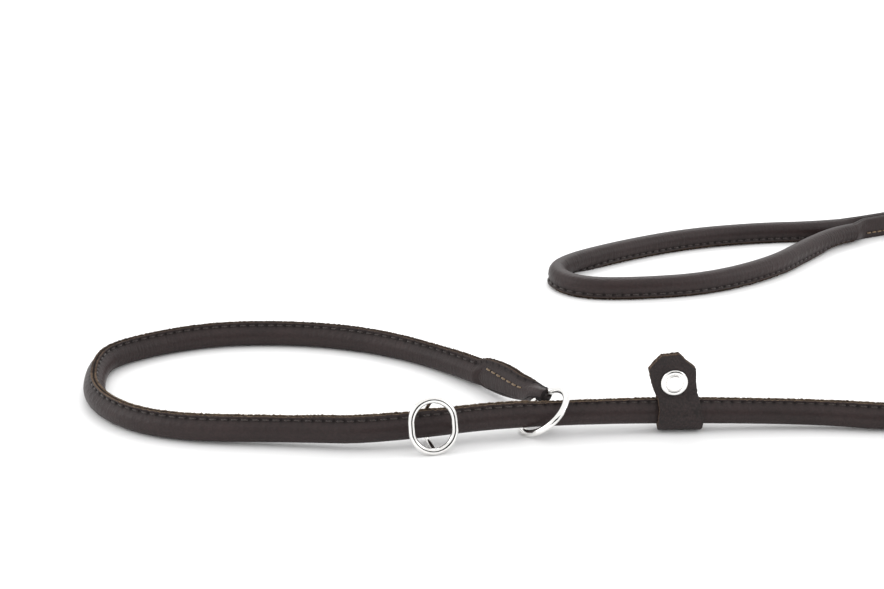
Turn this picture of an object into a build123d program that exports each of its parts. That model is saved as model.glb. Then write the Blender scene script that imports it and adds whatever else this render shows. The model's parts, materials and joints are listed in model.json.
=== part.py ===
"""Slip lead for dog training, in rolled leather: a noose with a slip ring, a choke stop and a
leather stop, one long line, and a hand loop. It lies on a flat surface at z = 0.

Frame: millimetres, +Z up, +X along the lead from the noose to the hand end. The origin is on the
surface, under the middle of the outline.
"""

import os
from math import cos, pi, radians, sin, tan

from build123d import *

# ---- driving dimensions -------------------------------------------------------------------------

CORD_D = 10.0  # rolled leather, outside, without its sewn edge
LEATHER_T = 1.5  # thickness of the strip that is rolled
CORE_D = 6.8  # filler cord inside the roll
BORE_D = CORD_D - 2 * LEATHER_T
END_R = 0.48 * CORD_D  # corner radius of the nearly round section where a flat stretch starts
BEND_SHARE = 0.45  # of the shorter run at a corner of the route, taken by the corner's arc

RING_BORE = 21.4  # slip ring
RING_WIRE = 3.0
RING_CENTRE = Vector(-54.5, -140.0, 9.3)
RING_AXIS = Vector(-0.61, -0.175, 0.77).normalized()

CHOKE_X = -105.1  # choke stop, along the near side of the noose
CHOKE_WIDTH = 22.0
CHOKE_HEIGHT = 25.3
CHOKE_WIRE = 3.0
CHOKE_BAR = 2.2
CHOKE_LEAN = 16.0  # degrees that its top leans back over the cord
CHOKE_AHEAD = 9.3  # from the cord's middle forward to the oval's middle
BAR_GAP = 0.7  # between the cord and the bar behind it
BAR_LOW = 5.5  # the bar's upright stretch, between these heights
BAR_HIGH = 12.5
BAR_STEP = 4.0  # depth of the slope from the surface up to that stretch
BAR_BEND = 2.4

EYE_TURN = 38.0  # degrees round the ring, from its nearest point up to where the fold holds it
FOLD_H = 12.0  # flattened leather on edge, at the slip ring
FOLD_T = 4.6
FOLD_FLAT_START = 6.0  # distances along the fold
FOLD_FLAT_END = 36.0
FOLD_EDGE_R = 1.1
NECK_W = 8.0  # the fold where it goes round the ring's wire
NECK_T = 6.8
NECK_CAP = 3.4  # leather past the middle of the wire
CAP_LESS_W = 1.0  # the cap's end is smaller than the neck by this
CAP_LESS_T = 2.0
WIRE_PLAY = 0.35  # room round the ring's wire in its fold
TONGUE_T = 1.4  # sewn-back end, on the front of the fold
TONGUE_H = 11.0
TONGUE_START = 6.4
FOLD_STITCHES = 6
FOLD_ROW_START = 11.0
FOLD_ROW_UP = 2.2

STOP_X = 5.4  # leather stop, along the line
STOP_W = 19.5
STOP_T = 1.5
STOP_SLIT = 0.3  # between the two layers of its tab
STOP_TOP = 28.0  # top of the tab above the cord's middle
STOP_PLAY = 0.65  # room round the cord
STOP_LEAN = 9.5  # degrees that the tab leans towards the noose
CORNER = 5.5  # clipped corners of the tab
TOP_DROP = 0.4  # the top edge is cut a little out of square
TAB_FOOT = 8.3  # where the two layers come together, above the cord's middle
FLARE_OUT = 0.8  # where the flare leaves the strap's circle, in shares of its radius
FLARE_UP = 0.6
RIVET_H = 14.6  # rivet above the cord's middle
RIVET_OFF = 1.1  # and towards the noose from the tab's middle line
RIVET_CAP_D = 12.2
RIVET_CAP_T = 1.6
RIVET_CAP_R = 1.2  # rounding of its rim
RIVET_BACK_D = 9.0
RIVET_BACK_T = 1.1
RIVET_BACK_R = 0.5
RIVET_POST_D = 3.0

LAP_H = 11.9  # flattened leather of the hand loop's joint
LAP_T = 4.4
LAP_EDGE_R = 1.2
LAP_START = Vector(134.0, 128.0, 6.0)
LAP_HEADING = 25.5  # degrees from +X
LAP_L = 50.0
LAP_TAPER = 12.0  # from round cord to flat
LAP_GAP = 0.1  # between the two flats
LAP_STITCHES = 5
LAP_ROW_IN = 1.5  # first stitch, from the start of the flat
LAP_ROW_DOWN = 2.4

THREAD_D = 0.8
STITCH_L = 2.6
STITCH_PITCH = 3.6

# ---- the cord's route ---------------------------------------------------------------------------
# From the fold at the slip ring, along the far side of the noose, round its end, back along the
# near side through the choke stop, the slip ring and the leather stop, and round to the hand loop.

ROUTE = [
    (-82, -88.6, 6.0),
    (-101, -66.1, 5.0),
    (-135, -45.1, 5.0),
    (-174, -35.3, 5.0),
    (-217, -38.4, 5.0),
    (-254.5, -60.8, 5.0),
    (-261.5, -82, 5.0),
    (-255.1, -122, 5.0),
    (-221.4, -149.7, 5.0),
    (-160, -154.4, 6.5),
    (-128, -158.7, 7.6),
    (-60, -141, 9.3),
    (60, -133.9, 6.6),
    (104, -140.1, 5.0),
    (177, -128, 5.0),
    (223, -101, 5.0),
    (250, -55, 5.0),
    (260, 3, 5.0),
    (260, 66, 5.0),
    (252, 128, 5.0),
    (231, 156, 5.2),
    (200.7, 162.3, 5.6),
    (178.2, 151.6, 6.0),
]
HAND_LOOP = [
    (131.8, 132.6, 6.0),
    (114, 127.5, 6.1),
    (84, 125.4, 6.1),
    (41, 114.7, 6.1),
    (0, 92.5, 6.1),
    (-34.5, 66.5, 6.1),
    (-38.3, 46.5, 6.1),
    (-24.5, 31, 6.1),
    (5, 31, 6.1),
    (43, 38.8, 6.1),
    (81, 65, 6.1),
    (106, 97, 6.1),
    (125, 117.5, 6.1),
    (136.2, 123.4, 6.0),
]
NOOSE_END = 6  # the noose's two sides meet half-way along the run that starts at this point
LINE_START = 12  # and the line's own stretch starts half-way along this one
CHOKE_RUN = 10  # the run that the choke stop slides on
STOP_RUN = 11  # and the leather stop's


def corner_radii(points):
    """Radius of each corner's arc, from the shorter of its two runs and its turn."""
    radii = []
    for before, here, after in zip(points, points[1:], points[2:]):
        arriving = Vector(*here) - Vector(*before)
        leaving = Vector(*after) - Vector(*here)
        turn = radians(arriving.get_angle(leaving))
        radii.append(BEND_SHARE * min(arriving.length, leaving.length) / tan(turn / 2))
    return radii


def middle(points, run):
    """The point half-way along a run."""
    return (Vector(*points[run]) + Vector(*points[run + 1])) / 2


def direction(points, run):
    """The direction of a run."""
    return (Vector(*points[run + 1]) - Vector(*points[run])).normalized()


def point_at_x(points, run, x):
    """The point of a run with this x."""
    start = Vector(*points[run])
    along = direction(points, run)
    return start + along * ((x - start.X) / along.X)


ROUTE_RADII = corner_radii(ROUTE)
LOOP_RADII = corner_radii(HAND_LOOP)
print("radii of the route:", [round(r) for r in ROUTE_RADII])
print("radii of the hand loop:", [round(r) for r in LOOP_RADII])

NOOSE_TIP = tuple(middle(ROUTE, NOOSE_END))
LINE_JOIN = tuple(middle(ROUTE, LINE_START))
STRETCHES = {
    "noose_far": (ROUTE[: NOOSE_END + 1] + [NOOSE_TIP], ROUTE_RADII[:NOOSE_END]),
    "noose_near": (
        [NOOSE_TIP] + ROUTE[NOOSE_END + 1 : LINE_START + 1] + [LINE_JOIN],
        ROUTE_RADII[NOOSE_END:LINE_START],
    ),
    "line": ([LINE_JOIN] + ROUTE[LINE_START + 1 :], ROUTE_RADII[LINE_START:]),
    "hand_loop": (HAND_LOOP, LOOP_RADII),
}

nodes = {}


def keep(builder, name):
    """Label a finished piece and keep it for the export."""
    builder.part.label = name
    nodes[name] = builder.part


# ---- rolled leather: cover and filler of each stretch -------------------------------------------


def cord_piece(points, radii, outer_d, bore_d):
    """A tube, or a rod where bore_d is 0, along straight runs joined by arcs."""
    with BuildPart() as piece:
        with BuildLine() as path:
            FilletPolyline(*points, radius=radii)
        with BuildSketch(Plane(origin=path.line @ 0, z_dir=path.line % 0)):
            Circle(outer_d / 2)
            if bore_d:
                Circle(bore_d / 2, mode=Mode.SUBTRACT)
        sweep()
    length = path.wire().length
    due = pi * (outer_d**2 - bore_d**2) / 4 * length
    print(f"  length {length:.0f}, volume over section times length {piece.part.volume / due:.4f}")
    return piece


for stretch, (points, radii) in STRETCHES.items():
    print(stretch)
    keep(cord_piece(points, radii, CORD_D, BORE_D), f"{stretch}_cover")
    keep(cord_piece(points, radii, CORE_D, 0), f"{stretch}_core")

# ---- slip ring ----------------------------------------------------------------------------------

ring_radius = (RING_BORE + RING_WIRE) / 2
ring_plane = Plane(origin=RING_CENTRE, z_dir=RING_AXIS)
ring_section = Plane(origin=RING_CENTRE, x_dir=ring_plane.x_dir, z_dir=ring_plane.y_dir)

with BuildPart() as slip_ring:
    with BuildSketch(ring_section):
        with Locations((ring_radius, 0)):
            Circle(RING_WIRE / 2)
    revolve(axis=Axis(RING_CENTRE, RING_AXIS))
keep(slip_ring, "slip_ring")

# ---- the fold that holds the slip ring ----------------------------------------------------------
# It runs straight from the end of the rolled cord to the ring, a little above the ring's nearest
# point, with its flat side upright, and turns at its neck so that the ring's wire goes through it
# squarely.

fold_start = Vector(*ROUTE[0])
towards_fold = fold_start - RING_CENTRE
nearest = (towards_fold - RING_AXIS * towards_fold.dot(RING_AXIS)).normalized()
in_ring_plane = nearest.rotate(Axis((0, 0, 0), RING_AXIS), -EYE_TURN)
fold_eye = RING_CENTRE + in_ring_plane * ring_radius
fold_dir = (fold_eye - fold_start).normalized()
fold_length = (fold_eye - fold_start).length
wire_dir = in_ring_plane.cross(RING_AXIS)
neck_up = (wire_dir - fold_dir * wire_dir.dot(fold_dir)).normalized()
edge_up = (Vector(0, 0, 1) - fold_dir * fold_dir.Z).normalized()
fold_front = fold_dir.cross(edge_up)  # the side seen from the noose's near side

with BuildPart() as ring_fold:
    flat_start = Plane(origin=fold_start + fold_dir * FOLD_FLAT_START, x_dir=edge_up, z_dir=fold_dir)
    tongue_end = fold_start + fold_dir * FOLD_FLAT_END + fold_front * (TONGUE_T / 2)
    neck = Plane(origin=fold_eye, x_dir=neck_up, z_dir=fold_dir)
    with BuildSketch(Plane(origin=fold_start, x_dir=edge_up, z_dir=-direction(ROUTE, 0))):
        RectangleRounded(CORD_D, CORD_D, END_R)
    with BuildSketch(flat_start):
        RectangleRounded(FOLD_H, FOLD_T, FOLD_EDGE_R)
    loft()
    with BuildSketch(flat_start):
        RectangleRounded(FOLD_H, FOLD_T, FOLD_EDGE_R)
    extrude(amount=FOLD_FLAT_END - FOLD_FLAT_START)
    with BuildSketch(Plane(origin=tongue_end, x_dir=edge_up, z_dir=fold_dir)):
        RectangleRounded(FOLD_H, FOLD_T + TONGUE_T, FOLD_EDGE_R)
    with BuildSketch(neck):
        RectangleRounded(NECK_W, NECK_T, FOLD_EDGE_R)
    loft()
    with BuildSketch(neck):
        RectangleRounded(NECK_W, NECK_T, FOLD_EDGE_R)
    with BuildSketch(neck.offset(NECK_CAP)):
        RectangleRounded(NECK_W - CAP_LESS_W, NECK_T - CAP_LESS_T, FOLD_EDGE_R)
    loft()
    with BuildSketch(ring_section):
        with Locations((ring_radius, 0)):
            Circle(RING_WIRE / 2 + WIRE_PLAY)
    revolve(axis=Axis(RING_CENTRE, RING_AXIS), mode=Mode.SUBTRACT)
keep(ring_fold, "ring_fold")

# The strip's end comes back along the front of the fold and is sewn down.
fold_face = Plane(
    origin=fold_start + fold_front * (FOLD_T / 2), x_dir=fold_dir, z_dir=fold_front
)
with BuildPart() as fold_tongue:
    with BuildSketch(fold_face):
        shoulder = TONGUE_START + TONGUE_H / 2
        with BuildLine():
            Polyline(
                (shoulder, TONGUE_H / 2),
                (FOLD_FLAT_END, TONGUE_H / 2),
                (FOLD_FLAT_END, -TONGUE_H / 2),
                (shoulder, -TONGUE_H / 2),
            )
            ThreePointArc((shoulder, -TONGUE_H / 2), (TONGUE_START, 0), (shoulder, TONGUE_H / 2))
        make_face()
    extrude(amount=TONGUE_T)
keep(fold_tongue, "fold_tongue")


def stitch_row(start, along, outwards, count):
    """A row of stitches lying on a face: short rods of thread with narrowed ends."""
    with BuildPart() as row:
        for number in range(count):
            first = start + along * (number * STITCH_PITCH) + outwards * (THREAD_D / 2)
            with BuildSketch(Plane(origin=first, x_dir=outwards, z_dir=along)):
                Circle(THREAD_D / 2)
            extrude(amount=STITCH_L)
        chamfer(row.edges().filter_by(GeomType.CIRCLE), 0.25 * THREAD_D)
    return row


fold_row = fold_start + fold_dir * FOLD_ROW_START + edge_up * FOLD_ROW_UP
front_row = fold_row + fold_front * (FOLD_T / 2 + TONGUE_T)
back_row = fold_row - fold_front * (FOLD_T / 2)
keep(stitch_row(front_row, fold_dir, fold_front, FOLD_STITCHES), "fold_stitching_front")
keep(stitch_row(back_row, fold_dir, -fold_front, FOLD_STITCHES), "fold_stitching_back")

# ---- choke stop: an oval in front of the cord with a bar bowed behind it ------------------------

cord_at_choke = point_at_x(ROUTE, CHOKE_RUN, CHOKE_X)
choke_heading = direction(ROUTE, CHOKE_RUN)
choke_along = Vector(choke_heading.X, choke_heading.Y, 0).normalized()
choke_back = Vector(-choke_along.Y, choke_along.X, 0)
lean = radians(CHOKE_LEAN)
choke_up = Vector(0, 0, cos(lean)) + choke_back * sin(lean)
half_h = (CHOKE_HEIGHT - CHOKE_WIRE) / 2
half_w = (CHOKE_WIDTH - CHOKE_WIRE) / 2
side = half_h - half_w  # half the length of the oval's straight sides
oval_ground = Vector(cord_at_choke.X, cord_at_choke.Y, 0) - choke_back * CHOKE_AHEAD
oval_middle = oval_ground + Vector(0, 0, half_h * cos(lean) + CHOKE_WIRE / 2)
oval_plane = Plane(origin=oval_middle, x_dir=choke_along, z_dir=choke_along.cross(choke_up))
bar_plane = Plane(origin=oval_ground, x_dir=choke_back, z_dir=choke_along)
foot = bar_plane.to_local_coords(oval_middle - choke_up * half_h)
head = bar_plane.to_local_coords(oval_middle + choke_up * half_h)
behind = CHOKE_AHEAD + CORD_D / 2 + CHOKE_BAR / 2 + BAR_GAP

with BuildPart() as choke_stop:
    with BuildLine(oval_plane) as oval:
        Line((half_w, -side), (half_w, side))
        ThreePointArc((half_w, side), (0, half_h), (-half_w, side))
        Line((-half_w, side), (-half_w, -side))
        ThreePointArc((-half_w, -side), (0, -half_h), (half_w, -side))
    with BuildSketch(Plane(origin=oval.line @ 0, z_dir=oval.line % 0)):
        Circle(CHOKE_WIRE / 2)
    sweep(path=oval.line)
    with BuildLine(bar_plane) as bar:
        FilletPolyline(
            (foot.X, foot.Y),
            (behind - BAR_STEP, CHOKE_BAR / 2),
            (behind, BAR_LOW),
            (behind, BAR_HIGH),
            (head.X, head.Y),
            radius=BAR_BEND,
        )
    with BuildSketch(Plane(origin=bar.line @ 0, z_dir=bar.line % 0)):
        Circle(CHOKE_BAR / 2)
    sweep(path=bar.line)
keep(choke_stop, "choke_stop")

# ---- leather stop: a strap folded round the line, with a riveted tab ----------------------------

cord_at_stop = point_at_x(ROUTE, STOP_RUN, STOP_X)
stop_along = direction(ROUTE, STOP_RUN)
stop_back = Vector(0, 0, 1).cross(stop_along).normalized()
tilt = tan(radians(STOP_LEAN))
tab_shift = tilt * STOP_TOP
strap_start = cord_at_stop - stop_along * (STOP_W / 2 + tab_shift)
stop_section = Plane(origin=strap_start, x_dir=stop_back, z_dir=stop_along)
stop_face = Plane(origin=cord_at_stop, x_dir=stop_along, z_dir=-stop_back)
stop_bore = CORD_D / 2 + STOP_PLAY
stop_outer = stop_bore + STOP_T
tab_half = STOP_T + STOP_SLIT / 2
rivet_spot = stop_face.from_local_coords((-tilt * RIVET_H - RIVET_OFF, RIVET_H, 0))
rivet_plane = Plane(origin=rivet_spot, x_dir=stop_along, z_dir=-stop_back)


def flare(radius, half, height):
    """Outline of one skin of the strap where it leaves the cord and closes into the tab."""
    return Polyline(
        (-radius * FLARE_OUT, radius * FLARE_UP),
        (-half, height),
        (half, height),
        (radius * FLARE_OUT, radius * FLARE_UP),
        close=True,
    )


with BuildPart() as stop_strap:
    with BuildSketch(stop_section):
        Circle(stop_outer)
        with Locations((0, STOP_TOP / 2)):
            Rectangle(2 * tab_half, STOP_TOP)
        with BuildLine():
            flare(stop_outer, tab_half, TAB_FOOT)
        make_face()
        Circle(stop_bore, mode=Mode.SUBTRACT)
        with BuildLine():
            flare(stop_bore, STOP_SLIT / 2, TAB_FOOT - STOP_T)
        make_face(mode=Mode.SUBTRACT)
        with Locations((0, STOP_TOP)):
            Rectangle(STOP_SLIT, 2 * (STOP_TOP - stop_outer), mode=Mode.SUBTRACT)
    extrude(amount=STOP_W + tab_shift)
    with BuildSketch(stop_face):
        with BuildLine():
            Polyline(
                (-STOP_W / 2, -2 * stop_outer),
                (-STOP_W / 2, stop_outer),
                (-STOP_W / 2 - tab_shift, STOP_TOP - CORNER),
                (-STOP_W / 2 - tab_shift + CORNER, STOP_TOP),
                (STOP_W / 2 - tab_shift - CORNER, STOP_TOP - TOP_DROP),
                (STOP_W / 2 - tab_shift, STOP_TOP - CORNER),
                (STOP_W / 2, stop_outer),
                (STOP_W / 2, -2 * stop_outer),
                close=True,
            )
        make_face()
    extrude(amount=2 * stop_outer, both=True, mode=Mode.INTERSECT)
    with BuildSketch(rivet_plane):
        Circle(RIVET_POST_D / 2)
    extrude(amount=2 * tab_half, both=True, mode=Mode.SUBTRACT)
keep(stop_strap, "stop_strap")

# The cap and its post come from the front, and the back cap closes on the post's end.
with BuildPart() as rivet_cap:
    with BuildSketch(rivet_plane.offset(tab_half)):
        Circle(RIVET_CAP_D / 2)
    extrude(amount=RIVET_CAP_T)
    along_rivet = Axis(rivet_plane.origin, rivet_plane.z_dir)
    fillet(rivet_cap.edges().group_by(along_rivet)[-1], RIVET_CAP_R)
    with BuildSketch(rivet_plane.offset(tab_half)):
        Circle(RIVET_POST_D / 2)
    extrude(amount=-2 * tab_half)
keep(rivet_cap, "stop_rivet_cap")

with BuildPart() as rivet_back:
    with BuildSketch(rivet_plane.offset(-tab_half)):
        Circle(RIVET_BACK_D / 2)
    extrude(amount=-RIVET_BACK_T)
    rims = rivet_back.edges().filter_by(GeomType.CIRCLE)
    fillet(rims.group_by(along_rivet)[0], RIVET_BACK_R)
keep(rivet_back, "stop_rivet_back")

# ---- the hand loop's joint: its end is flattened and sewn to the flattened line -----------------

lap_along = Vector(cos(radians(LAP_HEADING)), sin(radians(LAP_HEADING)), 0)
lap_back = Vector(-lap_along.Y, lap_along.X, 0)
flat_side = LAP_T / 2 + LAP_GAP / 2


def round_plane(point, towards):
    """Section plane on a cord's end face, facing the same way along the joint as the flats."""
    along = towards if towards.dot(lap_along) > 0 else -towards
    return Plane(origin=Vector(*point), x_dir=Vector(0, 0, 1), z_dir=along)


def flat_plane(distance, offset):
    """Section plane of a flat, this far along the joint and this far to its back."""
    origin = LAP_START + lap_along * distance + lap_back * offset
    return Plane(origin=origin, x_dir=Vector(0, 0, 1), z_dir=lap_along)


with BuildPart() as handle_lap:
    with BuildSketch(round_plane(HAND_LOOP[-1], direction(HAND_LOOP, -2))):
        RectangleRounded(CORD_D, CORD_D, END_R)
    with BuildSketch(flat_plane(LAP_TAPER, -flat_side)):
        RectangleRounded(LAP_H, LAP_T, LAP_EDGE_R)
    loft()
    with BuildSketch(flat_plane(LAP_TAPER, -flat_side)):
        RectangleRounded(LAP_H, LAP_T, LAP_EDGE_R)
    extrude(amount=LAP_L - 2 * LAP_TAPER)
    with BuildSketch(Plane(origin=LAP_START, x_dir=lap_along, z_dir=-lap_back)):
        end = LAP_L - LAP_TAPER
        with Locations((end, 0)):
            Rectangle(LAP_H, 2 * LAP_H)
        with Locations((end - LAP_H / 2, 0)):
            Circle(LAP_H / 2, mode=Mode.SUBTRACT)
            Rectangle(LAP_H / 2, 2 * LAP_H, align=(Align.MAX, Align.CENTER), mode=Mode.SUBTRACT)
    extrude(amount=LAP_H, both=True, mode=Mode.SUBTRACT)
keep(handle_lap, "handle_lap")

with BuildPart() as line_lap:
    with BuildSketch(round_plane(HAND_LOOP[0], direction(HAND_LOOP, 0))):
        RectangleRounded(CORD_D, CORD_D, END_R)
    with BuildSketch(flat_plane(LAP_TAPER, flat_side)):
        RectangleRounded(LAP_H, LAP_T, LAP_EDGE_R)
    loft()
    with BuildSketch(flat_plane(LAP_TAPER, flat_side)):
        RectangleRounded(LAP_H, LAP_T, LAP_EDGE_R)
    extrude(amount=LAP_L - 2 * LAP_TAPER)
    with BuildSketch(flat_plane(LAP_L - LAP_TAPER, flat_side)):
        RectangleRounded(LAP_H, LAP_T, LAP_EDGE_R)
    with BuildSketch(round_plane(ROUTE[-1], direction(ROUTE, -2))):
        RectangleRounded(CORD_D, CORD_D, END_R)
    loft()
keep(line_lap, "line_lap")

lap_row = LAP_START + lap_along * (LAP_TAPER + LAP_ROW_IN) - Vector(0, 0, LAP_ROW_DOWN)
lap_face = lap_back * (flat_side + LAP_T / 2)
keep(stitch_row(lap_row - lap_face, lap_along, -lap_back, LAP_STITCHES), "lap_stitching_front")
keep(stitch_row(lap_row + lap_face, lap_along, lap_back, LAP_STITCHES), "lap_stitching_back")

os.makedirs("parts", exist_ok=True)
for name, piece in nodes.items():
    export_step(piece, f"parts/{name}.step")
    low, high = piece.bounding_box().min, piece.bounding_box().max
    print(name, round(piece.volume), [round(v, 1) for v in low], [round(v, 1) for v in high])
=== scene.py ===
"""Looks of the slip lead: rolled leather with its sewn edge, stitches, ring fold, choke stop,
leather stop and hand loop joint. Lengths are written in millimetres and turned into metres."""

import json
import math
import random

import bmesh
import bpy
import numpy as np
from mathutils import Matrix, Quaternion, Vector, noise

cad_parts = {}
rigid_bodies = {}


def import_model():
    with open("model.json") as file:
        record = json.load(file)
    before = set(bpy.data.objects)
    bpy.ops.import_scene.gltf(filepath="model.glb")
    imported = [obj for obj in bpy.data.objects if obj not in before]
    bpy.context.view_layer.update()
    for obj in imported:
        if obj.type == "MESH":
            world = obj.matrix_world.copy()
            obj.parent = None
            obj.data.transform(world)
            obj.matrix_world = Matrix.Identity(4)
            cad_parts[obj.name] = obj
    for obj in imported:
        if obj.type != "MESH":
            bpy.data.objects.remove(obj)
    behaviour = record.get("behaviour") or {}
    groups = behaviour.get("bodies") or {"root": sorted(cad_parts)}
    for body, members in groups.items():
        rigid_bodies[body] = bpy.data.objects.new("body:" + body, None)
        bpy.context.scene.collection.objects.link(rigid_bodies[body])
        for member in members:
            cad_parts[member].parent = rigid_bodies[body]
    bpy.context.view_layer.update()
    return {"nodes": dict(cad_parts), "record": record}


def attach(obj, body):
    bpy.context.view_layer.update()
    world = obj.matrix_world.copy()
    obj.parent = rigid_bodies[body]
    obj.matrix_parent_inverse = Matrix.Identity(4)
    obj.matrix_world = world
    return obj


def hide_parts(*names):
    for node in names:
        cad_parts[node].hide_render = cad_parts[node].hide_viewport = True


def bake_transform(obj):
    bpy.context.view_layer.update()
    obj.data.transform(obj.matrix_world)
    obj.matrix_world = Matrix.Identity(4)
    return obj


MM = 0.001
for leftover in list(bpy.data.objects):
    bpy.data.objects.remove(leftover)
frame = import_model()
node_objects = frame["nodes"]
dice = random.Random(7)

# ---- camera -------------------------------------------------------------------------------------

camera = bpy.data.objects.new("camera", bpy.data.cameras.new("camera"))
bpy.context.collection.objects.link(camera)
camera.location = (-0.099, -0.8743, 0.3311)
camera.rotation_euler = (math.radians(70), 0, 0)
camera.data.sensor_width = 36
camera.data.lens = 74.4
camera.data.clip_start = 0.01
bpy.context.scene.camera = camera

# ---- the cord's route, as in the CAD ------------------------------------------------------------

ROUTE = [
    (-82, -88.6, 6.0),
    (-101, -66.1, 5.0),
    (-135, -45.1, 5.0),
    (-174, -35.3, 5.0),
    (-217, -38.4, 5.0),
    (-254.5, -60.8, 5.0),
    (-261.5, -82, 5.0),
    (-255.1, -122, 5.0),
    (-221.4, -149.7, 5.0),
    (-160, -154.4, 6.5),
    (-128, -158.7, 7.6),
    (-60, -141, 9.3),
    (60, -133.9, 6.6),
    (104, -140.1, 5.0),
    (177, -128, 5.0),
    (223, -101, 5.0),
    (250, -55, 5.0),
    (260, 3, 5.0),
    (260, 66, 5.0),
    (252, 128, 5.0),
    (231, 156, 5.2),
    (200.7, 162.3, 5.6),
    (178.2, 151.6, 6.0),
]
HAND_LOOP = [
    (131.8, 132.6, 6.0),
    (114, 127.5, 6.1),
    (84, 125.4, 6.1),
    (41, 114.7, 6.1),
    (0, 92.5, 6.1),
    (-34.5, 66.5, 6.1),
    (-38.3, 46.5, 6.1),
    (-24.5, 31, 6.1),
    (5, 31, 6.1),
    (43, 38.8, 6.1),
    (81, 65, 6.1),
    (106, 97, 6.1),
    (125, 117.5, 6.1),
    (136.2, 123.4, 6.0),
]
NOOSE_END = 6  # the noose's two sides meet half-way along the run that starts at this point
NOOSE_TIP = tuple((Vector(ROUTE[NOOSE_END]) + Vector(ROUTE[NOOSE_END + 1])) / 2)
UP = Vector((0, 0, 1))

CORD_R = 5.0
EDGE_HALF = 1.45  # half the thickness of the two sewn edges
EDGE_UP = 2.0  # their height above the round
TORN_UP = 2.6  # and where they run torn into the fold
STITCH_PITCH = 4.6
STEP = 0.55  # between the sections of a cord


def smooth(x, low, high):
    """0 below low, 1 above high, and smooth between."""
    t = min(max((x - low) / (high - low), 0), 1)
    return t * t * (3 - 2 * t)


def spline_points(controls):
    """Points of the NURBS spline with these control points."""
    curve = bpy.data.curves.new("route", "CURVE")
    curve.dimensions = "3D"
    curve.resolution_u = 32
    spline = curve.splines.new("NURBS")
    spline.points.add(len(controls) - 1)
    for point, control in zip(spline.points, controls):
        point.co = (*(Vector(control) * MM), 1)
    spline.order_u = 3
    spline.use_endpoint_u = True
    line = bpy.data.objects.new("route", curve)
    bpy.context.collection.objects.link(line)
    mesh = bpy.data.meshes.new_from_object(line)
    points = [v.co / MM for v in mesh.vertices]
    bpy.data.objects.remove(line)
    bpy.data.curves.remove(curve)
    bpy.data.meshes.remove(mesh)
    return points


def evenly(points, step):
    """Points spaced evenly along a line, and how far along each is."""
    line = np.array([tuple(p) for p in points])
    far = np.concatenate([[0], np.cumsum(np.linalg.norm(np.diff(line, axis=0), axis=1))])
    at = np.linspace(0, far[-1], max(2, round(far[-1] / step) + 1))
    spaced = np.stack([np.interp(at, far, line[:, k]) for k in range(3)], axis=1)
    return [Vector(p) for p in spaced], at


def frames_along(points):
    """Tangent, upward and sideways directions at each point of a line."""
    found = []
    for i in range(len(points)):
        along = (points[min(i + 1, len(points) - 1)] - points[max(i - 1, 0)]).normalized()
        up = (UP - along * along.z).normalized()
        found.append((along, up, along.cross(up)))
    return found


# ---- mesh making --------------------------------------------------------------------------------


class Build:
    """Collects the faces of one mesh, with a material, texture coordinates and shading per corner."""

    def __init__(self):
        self.points, self.faces, self.materials, self.uvs, self.dark, self.bend = [], [], [], [], [], []

    def add(self, points, dark=None, bend=None):
        first = len(self.points)
        self.points += [tuple(p) for p in points]
        self.dark += dark or [0.0] * len(points)
        self.bend += bend or [0.0] * len(points)
        return first

    def face(self, corners, material, uvs=None):
        self.faces.append(corners)
        self.materials.append(material)
        self.uvs += uvs or [(0.0, 0.0)] * len(corners)

    def rings(self, rings, far, materials, around, closed=True, dark=None, bend=None, caps=False, cap_material=0):
        """Faces between rings of points. far and around are the distances that the texture follows."""
        count = len(rings[0])
        starts = [
            self.add(ring, dark[i] if dark else None, bend[i] if bend else None) for i, ring in enumerate(rings)
        ]
        for i in range(len(rings) - 1):
            a, b = starts[i], starts[i + 1]
            for j in range(count if closed else count - 1):
                k = (j + 1) % count
                u0, u1, v0, v1 = far[i] * MM, far[i + 1] * MM, around[j] * MM, around[j + 1] * MM
                self.face(
                    (a + j, b + j, b + k, a + k), materials[j], [(u0, v0), (u1, v0), (u1, v1), (u0, v1)]
                )
        if caps:
            for start, flip in ((starts[0], False), (starts[-1], True)):
                corners = list(range(start, start + count))
                self.face(corners[::-1] if flip else corners, cap_material)

    def rod(self, spine, radii, material, sides=6):
        """A thin rod along a few points, closed at both ends."""
        rings = []
        for i, point in enumerate(spine):
            along = (spine[min(i + 1, len(spine) - 1)] - spine[max(i - 1, 0)]).normalized()
            side = along.cross(UP)
            side = side.normalized() if side.length > 0.1 else Vector((1, 0, 0))
            other = along.cross(side)
            turn = [2 * math.pi * k / sides for k in range(sides)]
            rings.append([point + (side * math.cos(t) + other * math.sin(t)) * radii[i] for t in turn])
        far = [0.0]
        for a, b in zip(spine, spine[1:]):
            far.append(far[-1] + (b - a).length)
        round_it = [k * 2 * math.pi * max(radii) / sides for k in range(sides + 1)]
        self.rings(rings, far, [material] * sides, round_it, caps=True, cap_material=material)

    def object(self, name, materials):
        mesh = bpy.data.meshes.new(name)
        mesh.from_pydata([(x * MM, y * MM, z * MM) for x, y, z in self.points], [], self.faces)
        mesh.polygons.foreach_set("material_index", self.materials)
        mesh.polygons.foreach_set("use_smooth", [True] * len(self.faces))
        layer = mesh.uv_layers.new(name="along")
        layer.data.foreach_set("uv", np.array(self.uvs, np.float32).ravel())
        # The dark attribute holds painted shade for grooves, stitch holes and crevices; bend holds how strongly the
        # cord curves, for its creases.
        for key, values in (("dark", self.dark), ("bend", self.bend)):
            mesh.attributes.new(key, "FLOAT", "POINT").data.foreach_set("value", np.array(values, np.float32))
        for material in materials:
            mesh.materials.append(material)
        mesh.validate()
        shape = bmesh.new()
        shape.from_mesh(mesh)
        bmesh.ops.recalc_face_normals(shape, faces=shape.faces)
        shape.to_mesh(mesh)
        shape.free()
        piece = bpy.data.objects.new(name, mesh)
        bpy.context.collection.objects.link(piece)
        return piece


# ---- materials ----------------------------------------------------------------------------------


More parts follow.
